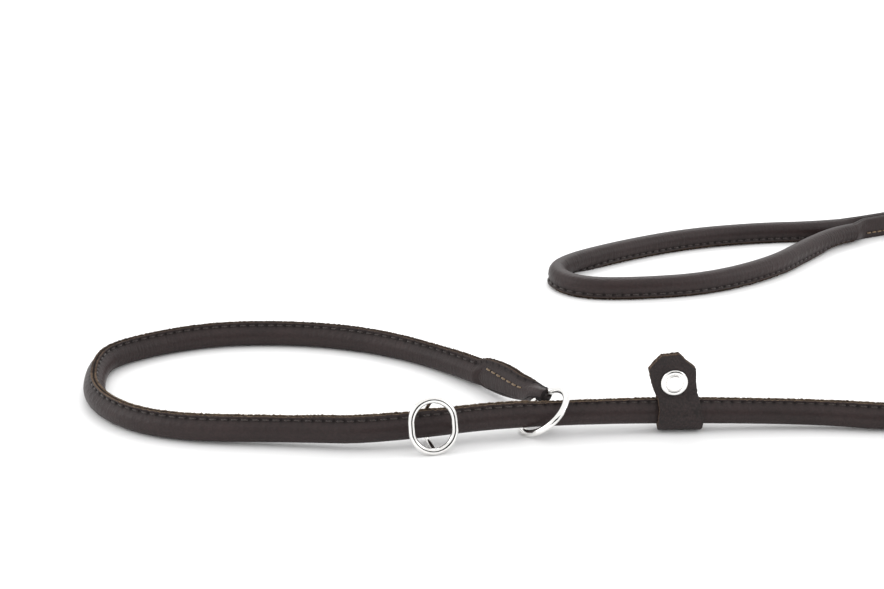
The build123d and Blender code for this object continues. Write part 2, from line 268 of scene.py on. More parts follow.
class Nodes:
    """Short hand for a material's nodes."""

    def __init__(self, name):
        self.material = bpy.data.materials.new(name)
        self.material.use_nodes = True
        self.tree = self.material.node_tree
        self.shader = self.tree.nodes["Principled BSDF"]

    def node(self, kind, inputs=(), **settings):
        made = self.tree.nodes.new("ShaderNode" + kind)
        for key, value in settings.items():
            setattr(made, key, value)
        for key, value in dict(inputs).items():
            self.put(made.inputs[key], value)
        return made

    def put(self, socket, value):
        if isinstance(value, bpy.types.NodeSocket):
            self.tree.links.new(value, socket)
        else:
            socket.default_value = value

    def along(self, scale):
        """The piece's own texture coordinates, in units of 1 m over scale."""
        uv = self.node("UVMap", uv_map="along").outputs[0]
        return self.node("Mapping", {"Vector": uv, "Scale": scale}).outputs[0]

    def noise(self, scale, detail=3.0, rough=0.6, size=1.0):
        return self.node(
            "TexNoise", {"Vector": self.along(scale), "Scale": size, "Detail": detail, "Roughness": rough}
        ).outputs[0]

    def attribute(self, name):
        return self.node("Attribute", attribute_name=name).outputs["Fac"]

    def math(self, operation, a, b=0.0, c=0.0):
        return self.node("Math", {0: a, 1: b, 2: c}, operation=operation).outputs[0]

    def ramp(self, value, low, high):
        return self.node("MapRange", {0: value, 1: low, 2: high}).outputs[0]

    def mix(self, share, a, b):
        made = self.node("Mix", data_type="RGBA")
        self.put(made.inputs[0], share)
        self.put(made.inputs[6], a)
        self.put(made.inputs[7], b)
        return made.outputs[2]

    def bump(self, height, distance, strength=1.0, normal=None):
        made = self.node("Bump", {"Height": height, "Distance": distance, "Strength": strength})
        if normal:
            self.put(made.inputs["Normal"], normal)
        return made.outputs[0]


def linear(r, g, b):
    """A colour from its 0 to 255 values."""
    return tuple(((c / 255 + 0.055) / 1.055) ** 2.4 if c > 10 else c / 255 / 12.92 for c in (r, g, b)) + (1.0,)


def leather(name, base, light, deep, grain=1.0, roughness=0.5):
    """Dark leather: pebbled grain, fine creases across bends, worn places, and painted shade in grooves, stitch holes
    and crevices.
    """
    n = Nodes(name)
    broad = n.noise((38, 60, 1), 4.0, 0.65)
    fine = n.noise((2600, 2600, 1), 2.0, 0.6)
    cells = n.node(
        "TexVoronoi", {"Vector": n.along((900, 1050, 1)), "Scale": 1.0, "Smoothness": 0.35}, feature="SMOOTH_F1"
    ).outputs["Distance"]
    creases = n.noise((760, 95, 1), 3.0, 0.55)
    bend = n.attribute("bend")
    dark = n.attribute("dark")
    colour = n.mix(n.ramp(broad, 0.3, 0.72), base, light)
    colour = n.mix(n.math("MULTIPLY", n.ramp(fine, 0.35, 0.7), 0.25), colour, deep)
    colour = n.mix(n.math("MULTIPLY", n.ramp(cells, 0.3, 0.75), 0.22 * grain), colour, deep)
    # Painted shade: the dark attribute darkens grooves, stitch holes and crevices towards deep.
    colour = n.mix(n.math("MULTIPLY", dark, 0.85), colour, deep)
    n.put(n.shader.inputs["Base Color"], colour)
    rough = n.math("MULTIPLY_ADD", fine, 0.16, roughness - 0.08)
    n.put(n.shader.inputs["Roughness"], n.math("MULTIPLY_ADD", dark, 0.3, rough))
    n.shader.inputs["Specular IOR Level"].default_value = 0.34
    pebble = n.bump(cells, 0.00009 * grain, 0.8)
    pores = n.bump(fine, 0.00004 * grain, 0.7, pebble)
    depth = n.math("MULTIPLY_ADD", bend, 1.0, 0.25)
    folded = n.bump(n.math("MULTIPLY", creases, depth), 0.0009, 0.85, pores)
    n.put(n.shader.inputs["Normal"], folded)
    return n.material


def raw_edge(name, pale, mid, deep):
    """Cut leather: fibres in tan and brown, rough."""
    n = Nodes(name)
    fibres = n.noise((900, 2400, 1), 4.0, 0.7)
    patches = n.noise((160, 300, 1), 3.0, 0.7)
    colour = n.mix(n.ramp(patches, 0.3, 0.68), mid, pale)
    colour = n.mix(n.ramp(fibres, 0.42, 0.7), colour, deep)
    # Painted shade: the dark attribute darkens the cut edges in crevices and holes.
    colour = n.mix(n.attribute("dark"), colour, deep)
    n.put(n.shader.inputs["Base Color"], colour)
    n.shader.inputs["Roughness"].default_value = 0.9
    n.shader.inputs["Specular IOR Level"].default_value = 0.2
    n.put(n.shader.inputs["Normal"], n.bump(fibres, 0.0003, 0.9))
    return n.material


def thread(name, base, light):
    """Twisted, waxed thread."""
    n = Nodes(name)
    twist = n.node(
        "TexWave",
        {"Vector": n.along((1, 1, 1)), "Scale": 420.0, "Distortion": 1.0},
        bands_direction="DIAGONAL",
    ).outputs["Fac"]
    n.put(n.shader.inputs["Base Color"], n.mix(twist, base, light))
    n.shader.inputs["Roughness"].default_value = 0.55
    n.shader.inputs["Sheen Weight"].default_value = 0.2
    n.put(n.shader.inputs["Normal"], n.bump(twist, 0.00008, 0.8))
    return n.material


def plated(name, colour, roughness):
    """Nickel plate: bright, with fine polishing marks and slight waviness."""
    n = Nodes(name)
    spot = n.node("TexCoord").outputs["Object"]
    marks = n.node("TexNoise", {"Vector": spot, "Scale": 900.0, "Detail": 4.0}).outputs[0]
    waves = n.node("TexNoise", {"Vector": spot, "Scale": 160.0, "Detail": 1.0}).outputs[0]
    n.put(n.shader.inputs["Base Color"], n.mix(n.ramp(waves, 0.3, 0.8), colour, tuple(c * 0.93 for c in colour)))
    n.shader.inputs["Metallic"].default_value = 1.0
    n.put(n.shader.inputs["Roughness"], n.math("MULTIPLY_ADD", marks, 0.1, roughness - 0.03))
    n.put(n.shader.inputs["Normal"], n.bump(waves, 0.00008, 0.35))
    return n.material


BROWN = linear(35, 22, 21)
DEEP = linear(18, 13, 12)
LEATHER = leather("rolled_leather", BROWN, linear(49, 34, 33), DEEP, 1.5, 0.47)
FLAT_LEATHER = leather("flat_leather", BROWN, linear(50, 35, 34), DEEP, 1.2, 0.48)
STRAP_LEATHER = leather("strap_leather", linear(33, 22, 21), linear(50, 37, 36), DEEP, 3.2, 0.5)
EDGE = raw_edge("cut_edge", linear(130, 110, 89), linear(86, 69, 56), linear(26, 19, 17))
DARK_EDGE = raw_edge("dark_cut_edge", linear(104, 84, 68), linear(58, 46, 40), DEEP)
SEAM_THREAD = thread("seam_thread", linear(32, 25, 23), linear(58, 46, 41))
TAN_THREAD = thread("tan_thread", linear(94, 75, 54), linear(136, 111, 78))
# Painted shade: near-black rods set into the stitch holes stand for the shade inside them.
HOLE_SHADE = raw_edge("stitch_hole_shade", linear(20, 15, 14), linear(14, 10, 9), linear(8, 6, 5))
NICKEL = plated("nickel", (0.88, 0.87, 0.85, 1.0), 0.1)

# ---- rolled leather with its sewn edge ----------------------------------------------------------


def tattered(far, seed):
    """How far a torn edge stands above or below its mean height."""
    coarse = 0.22 * noise.noise(Vector((far * 0.9, 0.0, seed)))
    return coarse + 0.18 * noise.noise(Vector((far * 2.6, 4.0, seed)))


def cord_section(far, height, lean, tatter=1.0):
    """One section of the rolled leather, as (side, up, painted shade, kind of the face that follows)."""
    hole = max(0.0, math.cos(2 * math.pi * far / STITCH_PITCH)) ** 3
    between = max(0.0, -math.cos(2 * math.pi * far / STITCH_PITCH)) ** 2
    half = EDGE_HALF + 0.12 * noise.noise(Vector((far * 0.35, 3.1, 0)))
    top = CORD_R + height
    neck = CORD_R + min(0.35, height * 0.3)
    right = []
    for k in range(19):
        angle = math.radians(140 * k / 18)
        shrug = 0.16 * between * smooth(k, 13, 18)
        radius = CORD_R + shrug
        right.append((radius * math.sin(angle), -radius * math.cos(angle), 0.0, 0))
    pinch = 0.2 + 0.45 * hole
    # The third values are painted shade: darker in the groove under the sewn edge, more so at each stitch hole, and in
    # the crevice between the edge's two layers.
    right += [
        (2.66, 4.38, 0.05 + 0.25 * hole, 0),
        (2.15, neck - 0.42, 0.2 + 0.5 * hole, 0),
        (half + 0.25 - pinch * 0.6, neck - 0.12, 0.35 + 0.65 * hole, 0),
        (half + 0.02 - pinch, neck + 0.18, 0.4 + 0.6 * hole, 0),
        (half + 0.02 - 0.5 * pinch, neck + 0.5 * (top - neck), 0.1 + 0.6 * hole, 0),
        (half + 0.02, top - 0.34, 0.0, 0),
    ]
    ragged = tatter * tattered(far, 5.0)
    rough = tatter * tattered(far, 2.0)
    right += [(half - 0.12, top - 0.08 + ragged, 0.25, 1), (half - 0.42, top + 0.04 + ragged, 0.0, 1)]
    right += [(0.62, top - 0.1 + ragged, 0.3, 1), (0.12, top - 0.3, 1.0, 1)]
    left = [(-x, y - ragged * smooth(y, top - 0.5, top - 0.2) + rough * smooth(y, top - 0.5, top - 0.2), d, m)
            for x, y, d, m in right[1:]][::-1]
    left = [(x, y, d, 1 if i < 3 else 0) for i, (x, y, d, m) in enumerate(left)]
    ring = right + [(0.0, top - 0.75, 1.0, 1)] + left
    return [(x + lean * max(0.0, y - CORD_R) * 0.5, y, d, m) for x, y, d, m in ring]


def waist(point):
    """How much narrower the roll is where the choke stop's bar has worn it."""
    if point.y > -110:
        return 1.0
    return 1 - 0.06 * smooth(point.x, -134, -123) * (1 - smooth(point.x, -108, -98))


def rolled_cord(name, controls, start, roll, height, edge_material, tatter=lambda point: 1.8):
    """The rolled leather along a route, and its seam's stitches. start is how far along the whole
    lead it begins; roll is the sewn edge's turn from the top; height is the edge's, at a point."""
    path, at = evenly(spline_points(controls), STEP)
    frames = frames_along(path)
    rings, dark, bend = [], [], []
    build, seam = Build(), Build()
    kinds = None
    for i, (point, (along, up, side)) in enumerate(zip(path, frames)):
        far = start + at[i]
        turn = math.radians(roll(at[i] / at[-1]))
        out = up * math.cos(turn) + side * math.sin(turn)
        across = side * math.cos(turn) - up * math.sin(turn)
        lean = noise.noise(Vector((far * 0.02, 1.0, 7.0)))
        section = cord_section(far, height(point), lean, tatter(point))
        kinds = [m for x, y, d, m in section]
        narrow = waist(point)
        ring = [point + across * x * narrow + out * y for x, y, d, m in section]
        for p in ring:
            p.z = max(p.z, 0.05)
        before, after = path[max(i - 12, 0)], path[min(i + 12, len(path) - 1)]
        curving = (before + after) / 2 - point
        span = (after - before).length / 2
        curving = curving * (2 / max(span * span, 1)) * 30
        rings.append(ring)
        dark.append([d for x, y, d, m in section])
        bend.append([min(max((p - point).normalized().dot(curving), 0), 1.2) for p in ring])
    around = [0.0]
    for a, b in zip(rings[0], rings[0][1:] + rings[0][:1]):
        around.append(around[-1] + (b - a).length)
    build.rings(rings, [start + a for a in at], kinds, around, dark=dark, bend=bend)
    fibres(build, path, at, start, frames, roll, height)
    stitches(seam, path, at, start, frames, roll, height)
    cord = build.object(name, [LEATHER, edge_material])
    sewing = seam.object(name + "_seam_stitches", [SEAM_THREAD])
    return cord, sewing, path, at[-1]


def place(path, at, frames, roll, far):
    """Position and directions at a distance along a cord: point, along, out through the edge, across."""
    i = min(int(np.searchsorted(at, far)), len(path) - 1)
    along, up, side = frames[i]
    turn = math.radians(roll(at[i] / at[-1]))
    return (
        path[i],
        along,
        up * math.cos(turn) + side * math.sin(turn),
        side * math.cos(turn) - up * math.sin(turn),
    )


def fibres(build, path, at, start, frames, roll, height):
    """Loose fibres that stand out of the two cut edges."""
    count = int(at[-1] * 1.1)
    for _ in range(count):
        point, along, out, across = place(path, at, frames, roll, dice.uniform(1, at[-1] - 1))
        edge = dice.choice((-1, 1))
        root = point + out * (CORD_R + height(point) - 0.1) + across * edge * dice.uniform(0.5, 1.35)
        lie = along * dice.uniform(-1, 1) + across * edge * dice.uniform(0.1, 0.9) + out * dice.uniform(0.2, 0.9)
        lie = lie.normalized()
        tip = root + lie * dice.uniform(0.25, 0.75)
        middle = (root + tip) / 2 + out * 0.08
        for p in (root, middle, tip):
            p.z = max(p.z, 0.15)
        width = dice.uniform(0.05, 0.13)
        build.rod([root, middle, tip], [width, width * 0.8, 0.02], 1, 4)


def stitches(build, path, at, start, frames, roll, height):
    """The seam's stitches, on both sides of the sewn edge, each from hole to hole."""
    first = math.ceil(start / STITCH_PITCH) * STITCH_PITCH - start
    far = first
    while far + STITCH_PITCH < at[-1]:
        for edge in (-1, 1):
            spine = []
            for share in (0.2, 0.3, 0.5, 0.7, 0.8):
                point, along, out, across = place(path, at, frames, roll, far + share * STITCH_PITCH)
                worn = smooth(EDGE_UP - height(point), 0.1, 0.4)
                arch = (1.2 + 0.36 * math.sin(math.pi * share)) * (1 - 0.15 * worn)
                lift = min(0.35, height(point) * 0.3) + 0.2 - 0.3 * worn
                spine.append(point + across * edge * arch + out * (CORD_R + lift))
            for p in spine:
                p.z = max(p.z, 0.38)
            build.rod(spine, [0.2, 0.32, 0.36, 0.32, 0.2], 0, 6)
        far += STITCH_PITCH


def noose_edge(point):
    """Height of the noose's and the line's sewn edge. It stands a little higher on the noose's near
    side, by the choke stop, and is highest and torn at the fold. It is pressed down where the slip
    ring and the leather stop run."""
    if point.y > -110:
        return EDGE_UP + (TORN_UP - EDGE_UP) * smooth(point.x, -108, -88) * smooth(point.y, -105, -92)
    proud = smooth(point.x, -165, -150) * (1 - smooth(point.x, -122, -108))
    ring = smooth(point.x, -66, -56) * (1 - smooth(point.x, -20, -12))
    stop = smooth(point.x, -20, -12) * (1 - smooth(point.x, 66, 90))
    choke = smooth(point.x, -115, -107) * (1 - smooth(point.x, -105, -97))
    return EDGE_UP + 0.5 * proud + 0.7 * choke - 0.6 * ring - 0.45 * stop


def loop_edge(point):
    """Height of the hand loop's sewn edge, which is flattened into its joint."""
    return EDGE_UP * (1 - 0.85 * smooth(point.x, 104, 128))


def frayed(point):
    """The noose's far side frays towards its fold."""
    return 1.8 + 0.6 * smooth(point.x, -120, -85)


noose_far, noose_far_seam, far_path, far_length = rolled_cord(
    "noose_far_leather",
    ROUTE[: NOOSE_END + 1] + [NOOSE_TIP],
    0.0,
    lambda share: 0.0,
    noose_edge,
    DARK_EDGE,
    frayed,
)
line, line_seam, line_path, line_length = rolled_cord(
    "noose_and_line_leather",
    [NOOSE_TIP] + ROUTE[NOOSE_END + 1 :],
    far_length,
    lambda share: -200 * smooth(share, 0.52, 0.98),
    noose_edge,
    EDGE,
)
hand_loop, hand_loop_seam, loop_path, loop_length = rolled_cord(
    "hand_loop_leather",
    HAND_LOOP,
    0.0,
    lambda share: 222 - 84 * smooth(share, 0.36, 0.48),
    loop_edge,
    DARK_EDGE,
)

for piece in (noose_far, noose_far_seam):
    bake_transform(piece)
for piece in (line, line_seam, hand_loop, hand_loop_seam):
    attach(piece, "lead")
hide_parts("noose_far_cover", "noose_far_core")
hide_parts("noose_near_cover", "noose_near_core", "line_cover", "line_core")
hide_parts("hand_loop_cover", "hand_loop_core")
print("lengths", round(far_length), round(line_length), round(loop_length))

# ---- flat leather: what the fold and the joint share --------------------------------------------


def applied(piece):
    """Makes a piece's modifiers part of its mesh."""
    bpy.context.view_layer.update()
    graph = bpy.context.evaluated_depsgraph_get()
    mesh = bpy.data.meshes.new_from_object(piece.evaluated_get(graph))
    piece.modifiers.clear()
    piece.data = mesh
    return piece


def volume(piece):
    """Volume of a closed piece in cubic millimetres, negative if it is inside out."""
    shape = bmesh.new()
    shape.from_mesh(piece.data)
    found = shape.calc_volume(signed=True) / MM**3
    shape.free()
    return found


def stitch(build, start, end, out, gap=0.2):
    """One stitch of thick thread on a face, from hole to hole, with a dark rod at each hole as painted shade for the
    hole's dark rim.
    """
    spine = []
    for share, lift in ((0, -0.25), (0.15, 0.1), (0.5, 0.24), (0.85, 0.1), (1, -0.25)):
        spine.append(start + (end - start) * share + out * lift)
    build.rod(spine, [0.22, 0.36, 0.42, 0.36, 0.22], 0, 8)
    for hole in (start - (end - start).normalized() * gap, end + (end - start).normalized() * gap):
        build.rod([hole - out * 0.4, hole + out * 0.04], [0.38, 0.38], 1, 8)


def joint_record(name):
    """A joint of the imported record."""
    return next(j for j in frame["record"]["behaviour"]["joints"] if j["name"] == name)


# ---- the fold that holds the slip ring: the roll pressed flat, folded round the wire, sewn --------

ring_joint = joint_record("slip_ring_turn")
RING_CENTRE = Vector(ring_joint["pos_m"]) / MM
RING_AXIS = Vector(ring_joint["axis"]).normalized()
RING_R = 12.2  # to the middle of its wire
EYE_TURN = 38  # degrees round the ring from its nearest point to the fold
WIRE_ROOM = 1.85  # radius of the channel for the wire
FOLD_HALF_T = 2.3
# Distance along the fold, and the heights of its lower and upper edge over its middle line.
FOLD_EDGES = [
    (0, -5, 7.6),
    (8, -6, 8.9),
    (17, -6.9, 8.9),
    (26, -6.8, 8.0),
    (35, -6, 5.6),
    (44, -4.6, 3.6),
    (50, -4, 2.6),
]
LEAST_CUT = 20  # cubic millimetres that the wire's channel takes at least
MOST_CUT = 0.2  # and the share of the fold that it takes at most
NECK_HALF_T = 3.35
TONGUE_T = 1.3
TONGUE_START = 5.0

fold_start = Vector(ROUTE[0])
to_fold = fold_start - RING_CENTRE
nearest = (to_fold - RING_AXIS * to_fold.dot(RING_AXIS)).normalized()
to_eye = Quaternion(RING_AXIS, math.radians(-EYE_TURN)) @ nearest
eye = RING_CENTRE + to_eye * RING_R
fold_along = (eye - fold_start).normalized()
fold_length = (eye - fold_start).length
wire_along = to_eye.cross(RING_AXIS)
neck_up = (wire_along - fold_along * wire_along.dot(fold_along)).normalized()
cord_end = (far_path[0] - far_path[1]).normalized()


def fold_edges(far):
    """Heights of the fold's lower edge, its body's upper edge, and its torn edge's own height."""
    fin = TORN_UP - (TORN_UP - EDGE_UP) * smooth(far, 0, 10)
    fin -= (EDGE_UP - 0.5) * smooth(far, fold_length - 14, fold_length)
    stations = [row[0] for row in FOLD_EDGES]
    low, high = [
        sum(float(np.interp(max(far + d, -far), stations, [row[k] for row in FOLD_EDGES])) for d in (-3, 0, 3)) / 3
        for k in (1, 2)
    ]
    start = 1 - smooth(far, 0, 3)
    low, high = low + (-CORD_R - low) * start, high + (CORD_R + TORN_UP - high) * start
    return low, high - fin * (1 - 0.15 * smooth(far, 0, 7)), fin


def fold_frame(far):
    """Middle, up and back directions, flatness, half thickness and half height along the fold."""
    along = cord_end.lerp(fold_along, smooth(far, 0, 8)).normalized()
    up = (UP - along * along.z).normalized()
    up = up.lerp(neck_up, smooth(far, fold_length - 17, fold_length - 2)).normalized()
    back = up.cross(along)
    half_t = FOLD_HALF_T + (NECK_HALF_T - FOLD_HALF_T) * smooth(far, fold_length - 9, fold_length - 1)
    if far > fold_length:
        half_t = math.sqrt(max(NECK_HALF_T**2 - (far - fold_length) ** 2, 0.02))
    low, high, fin = fold_edges(far)
    return fold_start + fold_along * far + up * (low + high) / 2, up, back, smooth(far, 0, 7), half_t, (high - low) / 2


def pressed(x, y, flat, half_t, half_h):
    """Where a point of the round section goes as the roll is pressed flat."""
    core = min(1.5, half_t * 0.6)
    thin = min(abs(x), core) + max(abs(x) - core, 0) / (CORD_R - core) * (half_t - core)
    tall = abs(y) * half_h / CORD_R if abs(y) < CORD_R else half_h + (abs(y) - CORD_R) * 0.85
    flat_x = math.copysign(thin, x)
    flat_y = math.copysign(tall, y)
    return x + (flat_x - x) * flat, y + (flat_y - y) * flat


def face_depth(far, height):
    """How far the fold's face is from its middle, at a height."""
    point, up, back, flat, half_t, half_h = fold_frame(far)
    stretched = 1 + (half_h / CORD_R - 1) * flat
    round_y = max(-0.97, min(0.97, height / stretched / CORD_R)) * CORD_R
    round_x = math.sqrt(CORD_R**2 - round_y**2)
    return pressed(round_x, round_y, flat, half_t, half_h)[0]


def fold_body():
    """The two layers of the fold with their torn upper edges."""
    build = Build()
    rings, dark, far = [], [], []
    kinds = None
    steps = int((fold_length + NECK_HALF_T) / 0.5)
    for i in range(steps):
        s = i * 0.5
        point, up, back, flat, half_t, half_h = fold_frame(s)
        fin = fold_edges(s)[2]
        torn = 2.3 - 1.2 * smooth(s, 9, 15) + 1.2 * smooth(s, fold_length - 12, fold_length - 4)
        section = cord_section(-s, fin, noise.noise(Vector((-s * 0.02, 1.0, 7.0))), torn)
        kinds = [m for x, y, d, m in section]
        ring = []
        for x, y, d, m in section:
            px, py = pressed(x, y, flat, half_t, half_h)
            ring.append(point + back * px + up * py)
        for p in ring:
            p.z = max(p.z, 0.05)
        # Painted shade, rising over the fold's last 7 mm into its neck round the ring's wire.
        neck_shade = smooth(s, fold_length - 7, fold_length)
        rings.append(ring)
        dark.append([min(d + neck_shade, 1) for x, y, d, m in section])
        far.append(-s)
    around = [0.0]
    for a, b in zip(rings[0], rings[0][1:] + rings[0][:1]):
        around.append(around[-1] + (b - a).length)
    build.rings(rings, far, kinds, around, dark=dark, caps=True)
    return build.object("ring_fold_leather", [FLAT_LEATHER, DARK_EDGE])


def wire_channel():
    """A ring slightly thicker than the wire, to be cut out of the fold."""
    build = Build()
    side = RING_AXIS.orthogonal().normalized()
    other = RING_AXIS.cross(side)
    count, sides = 96, 16
    rings = []
    for i in range(count):
        turn = 2 * math.pi * i / count
        outward = side * math.cos(turn) + other * math.sin(turn)
        ring = []
        for k in range(sides):
            t = 2 * math.pi * k / sides
            reach = outward * (RING_R + WIRE_ROOM * math.cos(t))
            ring.append(RING_CENTRE + reach + RING_AXIS * WIRE_ROOM * math.sin(t))
        rings.append(ring)
    starts = [build.add(ring) for ring in rings]
    for i in range(count):
        a, b = starts[i], starts[(i + 1) % count]
        for k in range(sides):
            n = (k + 1) % sides
            build.face((a + k, a + n, b + n, b + k), 0)
    return build.object("wire_channel", [DARK_EDGE])


def fold_tongue():
    """The strip's end, cut round, that comes back along the front of the fold."""
    build = Build()
    radius = 5.0
    end = fold_length + 1.5
    stations = [TONGUE_START + radius * (1 - math.cos(math.radians(a))) for a in range(4, 91, 5)]
    while stations[-1] < end:
        stations.append(stations[-1] + 0.7)
    rings, dark, far = [], [], []
    across = [-1.0] + [-math.cos(math.pi * k / 22) for k in range(23)] + [1.0]
    for s in stations:
        point, up, back, flat, half_t, half_h = fold_frame(s)
        low, high, fin = fold_edges(s)
        shift = (low + high) / 2
        low, high = max(low + 0.9, -5.2) - shift, high - 0.7 - shift
        reach = min((s - TONGUE_START) / radius, 1)
        half = (high - low) / 2 * math.sqrt(1 - (1 - reach) ** 2)
        taper = 1 - 0.85 * smooth(s, fold_length - 9, end)
        ring, shade = [], []
        for k, q in enumerate(across):
            wander = 0.12 * noise.noise(Vector((s * 0.5, q * 2, 4.0)))
            v = (low + high) / 2 + q * half + wander * abs(q)
            inside = min(half * (1 - abs(q)), radius - math.hypot(max(radius - (s - TONGUE_START), 0), q * half))
            rise = min(max(inside, 0) / 0.8, 1)
            lift = TONGUE_T * taper * (0.35 + 0.65 * math.sqrt(1 - (1 - rise) ** 2))
            lift *= 1 - 0.85 * smooth(q, 0.25, 0.95)
            if k in (0, len(across) - 1):
                lift = -0.3
            depth = face_depth(s, v) + lift
            spot = point - back * depth + up * v
            spot.z = max(spot.z, 0.06)
            ring.append(spot)
            shade.append(1.0 if q < 0.4 and lift < 0.5 * TONGUE_T * taper else 0.0)
        rings.append(ring)
        dark.append(shade)
        far.append(s)
    around = [0.0]
    for a, b in zip(rings[-1], rings[-1][1:]):
        around.append(around[-1] + (b - a).length)
    around.append(around[-1])
    build.rings(rings, far, [1] + [0] * (len(across) - 2) + [1], around, closed=False, dark=dark)
    return build.object("fold_tongue_leather", [FLAT_LEATHER, DARK_EDGE])


def fold_stitches():
    """The row of tan stitches through the fold, on both sides."""
    build = Build()
    for k in range(7):
        s = 10.8 + 3.8 * k
        for face in (-1, 1):
            ends = []
            for t in (s, s + 3.0):
                point, up, back, flat, half_t, half_h = fold_frame(t)
                low, high, fin = fold_edges(t)
                v = min(5.2 - 0.18 * (t - 10.8), high - 1.0) - (low + high) / 2
                proud = 0.75 * TONGUE_T if face < 0 else 0.0
                ends.append(point + up * v + back * face * (face_depth(t, v) + proud + 0.1))
            stitch(build, ends[0], ends[1], back * face)
    return build.object("fold_stitches", [TAN_THREAD, HOLE_SHADE])


fold = fold_body()
channel = wire_channel()
cut = fold.modifiers.new("wire", "BOOLEAN")
cut.object = channel
cut.operation = "DIFFERENCE"
cut.solver = "EXACT"
cut.use_self = True
whole = volume(fold)
applied(fold)
print("fold", round(whole), "mm3, after the cut", round(volume(fold)))
if not (1 - MOST_CUT) * whole < volume(fold) < whole - LEAST_CUT:
    raise RuntimeError("the cut for the wire did not leave the fold with a channel")
bpy.data.objects.remove(channel)
tongue = fold_tongue()
fold_sewing = fold_stitches()
for piece, slot in ((fold, "flat_leather"), (tongue, "flat_leather"), (fold_sewing, "thread")):
    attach(piece, "noose_end")
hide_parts("ring_fold")
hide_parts("fold_tongue")
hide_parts("fold_stitching_front", "fold_stitching_back")

# ---- leather stop: a strap folded round the line, clipped roughly, with its rivet ------------------

STOP_X = 5.4
STOP_RUN = 11  # the run of the route that it slides on
STOP_RADIUS = 6.4  # to the middle of the leather's thickness
STOP_T = 1.5
TAB_OFF = 0.9  # from the tab's middle to the middle of each layer
RIVET_SPOT = (-3.55, 14.6)  # along the line and up
CAP_R = 6.1

stop_along = Vector(joint_record("leather_stop_slide")["axis"]).normalized()
stop_back = UP.cross(stop_along).normalized()
stop_up = stop_along.cross(stop_back)
run_start, run_end = Vector(ROUTE[STOP_RUN]), Vector(ROUTE[STOP_RUN + 1])
stop_middle = run_start + (run_end - run_start) * ((STOP_X - run_start.x) / (run_end.x - run_start.x))

# The tab's two side outlines, each from the cord up to its end of the top edge.
TAB_LEFT = [(-10.3, 7.2), (-11.9, 9.9), (-13.8, 15.5), (-15.0, 20.5), (-12.7, 23.8), (-9.7, 26.9)]
TAB_RIGHT = [(7.6, 7.2), (7.0, 9.9), (6.1, 15.5), (5.6, 21.2), (1.4, 24.4), (-2.0, 27.9)]


def between(points, share):
    """A point this share of the way along an outline's points."""
    place_on = share * (len(points) - 1)
    i = min(int(place_on), len(points) - 2)
    a, b = points[i], points[i + 1]
    t = place_on - i
    return a[0] + (b[0] - a[0]) * t, a[1] + (b[1] - a[1]) * t


def closing(height):
    """How far one layer is from the tab's middle, at a height above the cord."""
    return TAB_OFF + 3.25 * (1 - smooth(height, 4.6, 10.2)) ** 1.6


def strap_rows():
    """Rows of points across the strap, from the front layer's top, under the cord, to the back's."""
    tab, loop = [], []
    for k in range(45):
        share = 1 - k / 44
        left, right = between(TAB_LEFT, share), between(TAB_RIGHT, share)
        tab.append([(left[0] + (right[0] - left[0]) * q, left[1] + (right[1] - left[1]) * q) for q in ACROSS])
    start = 49
    for k in range(1, 36):
        angle = start + (360 - 2 * start) * k / 36
        up = math.cos(math.radians(angle))
        left = -10.1 - 0.5 * smooth(-up, -0.6, 0.3) + 1.0 * smooth(-up, 0.55, 1.0)
        right = 7.9 + 1.4 * smooth(-up, -0.75, 0.1) - 0.8 * smooth(-up, 0.6, 1.0)
        loop.append([(left + (right - left) * q, angle) for q in ACROSS])
    return tab, loop


ACROSS = [k / 32 for k in range(33)]


def stop_leather():
    tab, loop = strap_rows()
    rows = []
    for face, order in ((-1, tab), (1, tab[::-1])):
        layer = []
        for row in order:
            points = []
            for w, v in row:
                off = closing(v) if v > 4.6 else STOP_RADIUS
                near = math.hypot(w - RIVET_SPOT[0], v - RIVET_SPOT[1])
                wave = 0.45 * noise.noise(Vector((w * 0.11, v * 0.11, 3.0))) * smooth(near, 6.4, 9.5)
                wave *= smooth(v, 9, 13)
                swell = 0.22 * math.exp(-(((near - 7.6) / 1.1) ** 2)) * smooth(v, 8, 10)
                points.append((w, face * (off + swell) + wave, v))
            layer.append(points)
        if face < 0:
            rows += layer
            for row in loop:
                points = []
                for w, angle in row:
                    a = math.radians(angle)
                    dent = 0.16 * noise.noise(Vector((w * 0.16, angle * 0.03, 8.0)))
                    r = STOP_RADIUS + max(dent, -0.02) + 0.8 * math.exp(-(((angle - 138) / 28) ** 2))
                    points.append((w, -r * math.sin(a), r * math.cos(a)))
                rows.append(points)
        else:
            rows += layer
    build = Build()
    rings = []
    for r, row in enumerate(rows):
        ring = []
        for k, (w, u, v) in enumerate(row):
            edge = max(0, 1 - min(k, len(row) - 1 - k) / 3)
            torn = edge * 0.3 * noise.noise(Vector((v * 0.8 + r * 0.05, w * 0.3, 6.0)))
            top = 0.3 * noise.noise(Vector((w * 0.9, u, 2.0))) if r in (0, len(rows) - 1) else 0
            ring.append(stop_middle + stop_along * (w + torn) + stop_back * u + stop_up * (v + top))
        rings.append(ring)
    far = [0.0]
    for a, b in zip(rings, rings[1:]):
        far.append(far[-1] + (b[16] - a[16]).length)
    around = [20 * k / 32 for k in range(34)]
    build.rings(rings, far, [0] * 32, around, closed=False)
    piece = build.object("leather_stop_strap", [STRAP_LEATHER, DARK_EDGE])
    solid = piece.modifiers.new("thickness", "SOLIDIFY")
    solid.thickness = STOP_T * MM
    solid.offset = 0
    solid.material_offset_rim = 1
    edge = piece.modifiers.new("worn_edge", "BEVEL")
    edge.width = 0.3 * MM
    edge.segments = 2
    edge.limit_method = "ANGLE"
    edge.angle_limit = math.radians(50)
    return applied(piece)


